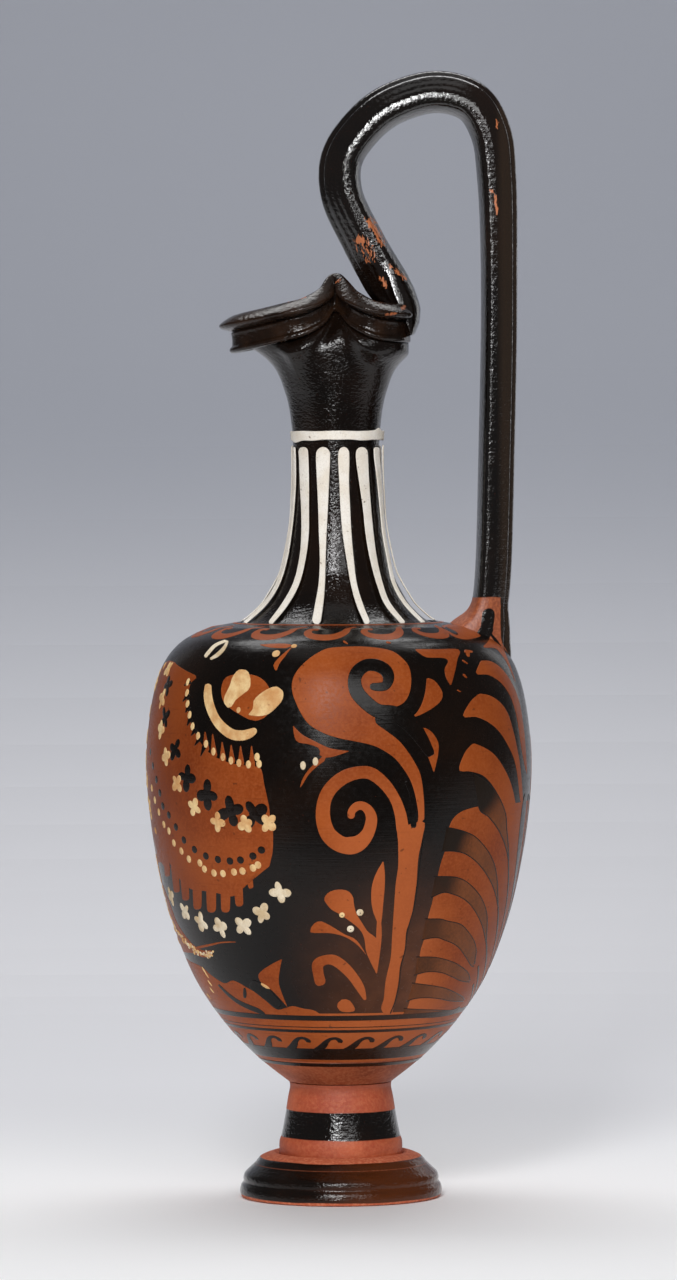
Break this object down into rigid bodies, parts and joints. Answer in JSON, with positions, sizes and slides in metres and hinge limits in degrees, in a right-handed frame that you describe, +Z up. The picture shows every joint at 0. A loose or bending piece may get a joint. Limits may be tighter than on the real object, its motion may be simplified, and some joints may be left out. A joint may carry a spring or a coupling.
{
  "type": "trefoil oinochoe",
  "caption": "Footed clay pouring jug with an ovoid body, slim neck, pinched three-lobed mouth and a high looped ribbed handle.",
  "frame": {"origin": "on the wheel's axis, at the plane the foot rests on", "axes": "+Z up along the wheel's axis, the spout towards -X and the handle towards +X"},
  "size_m": [0.127, 0.127, 0.3707],
  "materials": {
    "foot_gloss": "black gloss slip, semi-matt, brown where thin",
    "clay": "bare fired clay, matt",
    "body_gloss": "black gloss slip with reserved red figures",
    "neck_gloss": "black gloss slip with added white tongues",
    "mouth_gloss": "black gloss slip, worn at the edges",
    "handle_gloss": "black gloss slip"
  },
  "bodies": {
    "root": {"foot_disc": "foot_gloss", "foot_stem": "clay", "body": "body_gloss", "neck": "neck_gloss", "trefoil_mouth": "mouth_gloss", "handle": "handle_gloss"}
  },
  "joints": []
}
